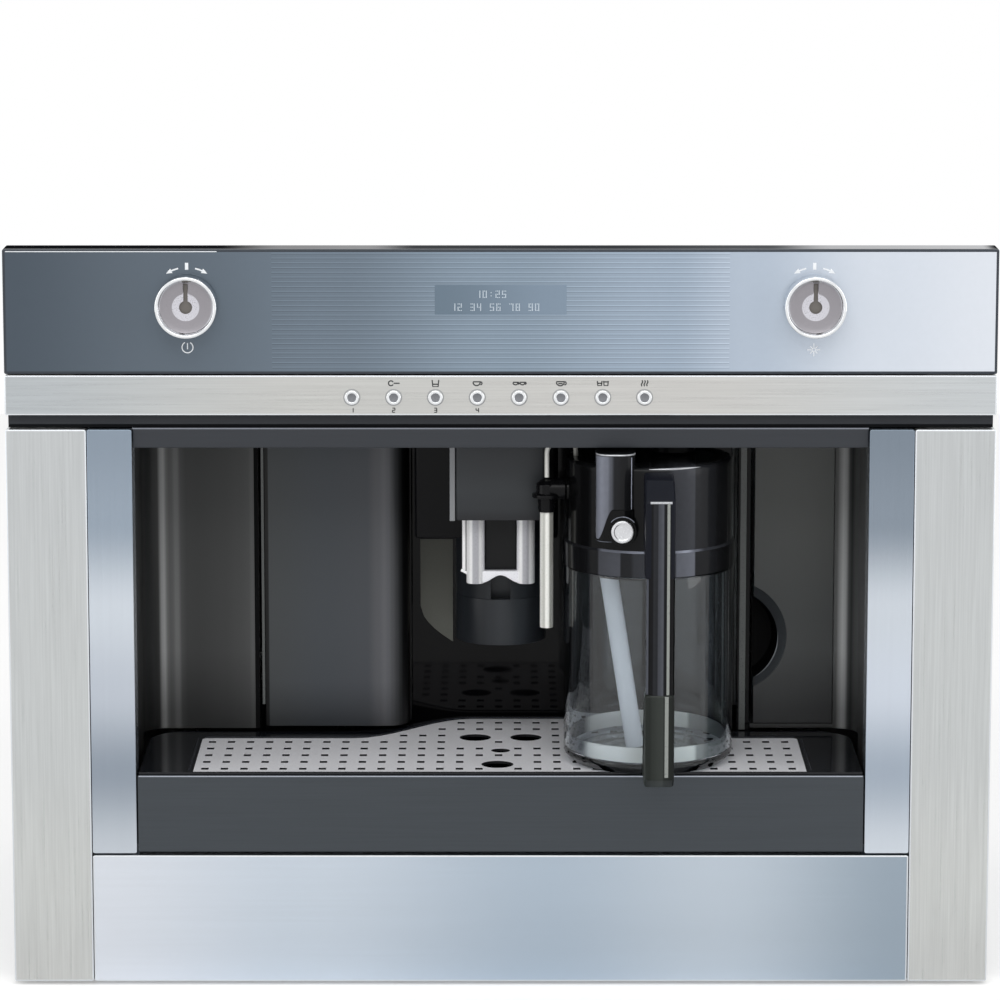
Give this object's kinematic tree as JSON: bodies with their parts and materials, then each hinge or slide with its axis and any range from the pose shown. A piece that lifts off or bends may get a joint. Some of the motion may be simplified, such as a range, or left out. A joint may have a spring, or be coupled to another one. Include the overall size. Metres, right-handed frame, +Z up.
{
  "type": "built-in coffee machine",
  "caption": "Built-in bean-to-cup coffee machine with a control panel, an open cavity, a drip tray and a clip-on milk jug, on telescopic niche rails.",
  "frame": {"origin": "middle of the machine's bounding box in plan, on the floor of the kitchen niche", "axes": "+X to the user's right, +Y to the rear of the niche, +Z up"},
  "size_m": [0.597, 0.3994, 0.455],
  "materials": {
    "brushed_steel": "fine vertical brush on the columns, fine horizontal brush on the button strip, satin",
    "polished_steel": "polished, pale blue reflections",
    "dark_steel": "dark horizontal brush, satin",
    "grid_steel": "satin pressed steel",
    "chrome": "mirror polish",
    "panel_glass": "mirror-backed panel glass, slate blue to pale blue",
    "display_lens": "tinted lens over a dot-matrix display",
    "satin_black": "fine moulded satin",
    "gloss_black": "high gloss moulding",
    "graphite": "satin graphite lacquer",
    "clear_glass": "clear borosilicate glass",
    "milk_tube_plastic": "translucent white plastic",
    "zinc_steel": "galvanised sheet with a light spangle",
    "circuit_board": "green solder resist",
    "cast_aluminium": "as cast, bead blasted",
    "tank_plastic": "smoky translucent moulding"
  },
  "bodies": {
    "niche_rails": {"outer_rail_left": "zinc_steel", "outer_rail_right": "zinc_steel"},
    "middle_slide_left": {"middle_rail_left": "zinc_steel"},
    "middle_slide_right": {"middle_rail_right": "zinc_steel"},
    "machine": {"control_panel": "panel_glass", "display": "display_lens", "button_strip": "brushed_steel", "control_board": "circuit_board", "column_left": "brushed_steel", "column_right": "brushed_steel", "trim_left": "polished_steel", "trim_right": "polished_steel", "bottom_fascia": "polished_steel", "chassis_floor": "zinc_steel", "side_panel_left": "zinc_steel", "side_panel_right": "zinc_steel", "top_cover": "zinc_steel", "tray_shelf": "zinc_steel", "rear_cover": "zinc_steel", "cavity_wall_left": "satin_black", "cavity_wall_right": "satin_black", "cavity_back": "gloss_black", "cavity_top": "graphite", "spout_column": "graphite", "bean_hopper": "tank_plastic", "grinder": "cast_aluminium", "brew_unit": "satin_black", "thermoblock": "cast_aluminium", "pump": "zinc_steel"},
    "left_stem": {"left_knob_stem": "zinc_steel"},
    "left_dial": {"left_knob": "chrome"},
    "right_stem": {"right_knob_stem": "zinc_steel"},
    "right_dial": {"right_knob": "chrome"},
    "spout": {"spout_housing": "graphite", "spout_nozzles": "chrome"},
    "door": {"service_door": "graphite"},
    "tank": {"water_tank": "tank_plastic", "tank_front": "graphite"},
    "tray": {"drip_tray": "gloss_black", "tray_front": "dark_steel", "drip_grid": "grid_steel", "grounds_container": "satin_black"},
    "jug": {"jug_glass": "clear_glass", "jug_base_ring": "brushed_steel", "jug_lid": "gloss_black", "jug_handle": "gloss_black", "milk_intake_tube": "milk_tube_plastic"},
    "clean_push": {"clean_button": "chrome"},
    "froth_control": {"froth_dial": "satin_black"},
    "milk_pourer": {"milk_spout": "chrome"},
    "bean_cover": {"hopper_lid": "satin_black"},
    "grind_control": {"grind_knob": "satin_black"},
    "push_1": {"button_1": "chrome"},
    "push_2": {"button_2": "chrome"},
    "push_3": {"button_3": "chrome"},
    "push_4": {"button_4": "chrome"},
    "push_5": {"button_5": "chrome"},
    "push_6": {"button_6": "chrome"},
    "push_7": {"button_7": "chrome"},
    "push_8": {"button_8": "chrome"}
  },
  "joints": [
    {"name": "machine_slide", "type": "slide", "parent": "niche_rails", "child": "machine", "axis": [0, -1, 0], "range_m": [0, 0.25]},
    {"name": "middle_slide_left", "type": "slide", "parent": "niche_rails", "child": "middle_slide_left", "axis": [0, -1, 0], "range_m": [0, 0.125]},
    {"name": "middle_slide_right", "type": "slide", "parent": "niche_rails", "child": "middle_slide_right", "axis": [0, -1, 0], "range_m": [0, 0.125]},
    {"name": "spout_height", "type": "slide", "parent": "machine", "child": "spout", "axis": [0, 0, 1], "range_m": [-0.038, 0]},
    {"name": "service_door_hinge", "type": "hinge", "parent": "machine", "child": "door", "pos_m": [-0.147, -0.0332, 0.235], "axis": [0, 0, -1], "range_deg": [0, 95]},
    {"name": "tank_slide", "type": "slide", "parent": "machine", "child": "tank", "axis": [0, -1, 0], "range_m": [0, 0.24]},
    {"name": "tray_slide", "type": "slide", "parent": "machine", "child": "tray", "axis": [0, -1, 0], "range_m": [0, 0.2]},
    {"name": "jug_slide", "type": "slide", "parent": "machine", "child": "jug", "axis": [0, -1, 0], "range_m": [0, 0.14]},
    {"name": "clean_button_push", "type": "slide", "parent": "jug", "child": "clean_push", "axis": [0, 1, 0], "range_m": [0, 0.002], "stiffness_N_per_m": 1200},
    {"name": "froth_dial_turn", "type": "hinge", "parent": "jug", "child": "froth_control", "pos_m": [0.106, -0.0947, 0.326], "axis": [0, 0, 1], "range_deg": [0, 120]},
    {"name": "milk_spout_swivel", "type": "hinge", "parent": "jug", "child": "milk_pourer", "pos_m": [0.0282, -0.1187, 0.3034], "axis": [-1, 0, 0], "range_deg": [0, 35]},
    {"name": "hopper_lid_hinge", "type": "hinge", "parent": "machine", "child": "bean_cover", "pos_m": [-0.01, 0.1858, 0.4088], "axis": [-1, 0, 0], "range_deg": [0, 100]},
    {"name": "grind_knob_turn", "type": "hinge", "parent": "machine", "child": "grind_control", "pos_m": [0.092, 0.1073, 0.405], "axis": [0, 0, 1], "range_deg": [0, 270]},
    {"name": "left_knob_push", "type": "slide", "parent": "machine", "child": "left_stem", "axis": [0, 1, 0], "range_m": [0, 0.0015], "stiffness_N_per_m": 2000},
    {"name": "left_knob_turn", "type": "hinge", "parent": "left_stem", "child": "left_dial", "pos_m": [-0.188, -0.1627, 0.4214], "axis": [0, 1, 0], "continuous": true},
    {"name": "right_knob_push", "type": "slide", "parent": "machine", "child": "right_stem", "axis": [0, 1, 0], "range_m": [0, 0.0015], "stiffness_N_per_m": 2000},
    {"name": "right_knob_turn", "type": "hinge", "parent": "right_stem", "child": "right_dial", "pos_m": [0.188, -0.1627, 0.4214], "axis": [0, 1, 0], "continuous": true},
    {"name": "button_1_push", "type": "slide", "parent": "machine", "child": "push_1", "axis": [0, 1, 0], "range_m": [0, 0.001], "stiffness_N_per_m": 1500},
    {"name": "button_2_push", "type": "slide", "parent": "machine", "child": "push_2", "axis": [0, 1, 0], "range_m": [0, 0.001], "stiffness_N_per_m": 1500},
    {"name": "button_3_push", "type": "slide", "parent": "machine", "child": "push_3", "axis": [0, 1, 0], "range_m": [0, 0.001], "stiffness_N_per_m": 1500},
    {"name": "button_4_push", "type": "slide", "parent": "machine", "child": "push_4", "axis": [0, 1, 0], "range_m": [0, 0.001], "stiffness_N_per_m": 1500},
    {"name": "button_5_push", "type": "slide", "parent": "machine", "child": "push_5", "axis": [0, 1, 0], "range_m": [0, 0.001], "stiffness_N_per_m": 1500},
    {"name": "button_6_push", "type": "slide", "parent": "machine", "child": "push_6", "axis": [0, 1, 0], "range_m": [0, 0.001], "stiffness_N_per_m": 1500},
    {"name": "button_7_push", "type": "slide", "parent": "machine", "child": "push_7", "axis": [0, 1, 0], "range_m": [0, 0.001], "stiffness_N_per_m": 1500},
    {"name": "button_8_push", "type": "slide", "parent": "machine", "child": "push_8", "axis": [0, 1, 0], "range_m": [0, 0.001], "stiffness_N_per_m": 1500}
  ],
  "couplings": [
    {"joint": "middle_slide_left", "follows": "machine_slide", "ratio": 0.5},
    {"joint": "middle_slide_right", "follows": "machine_slide", "ratio": 0.5}
  ]
}
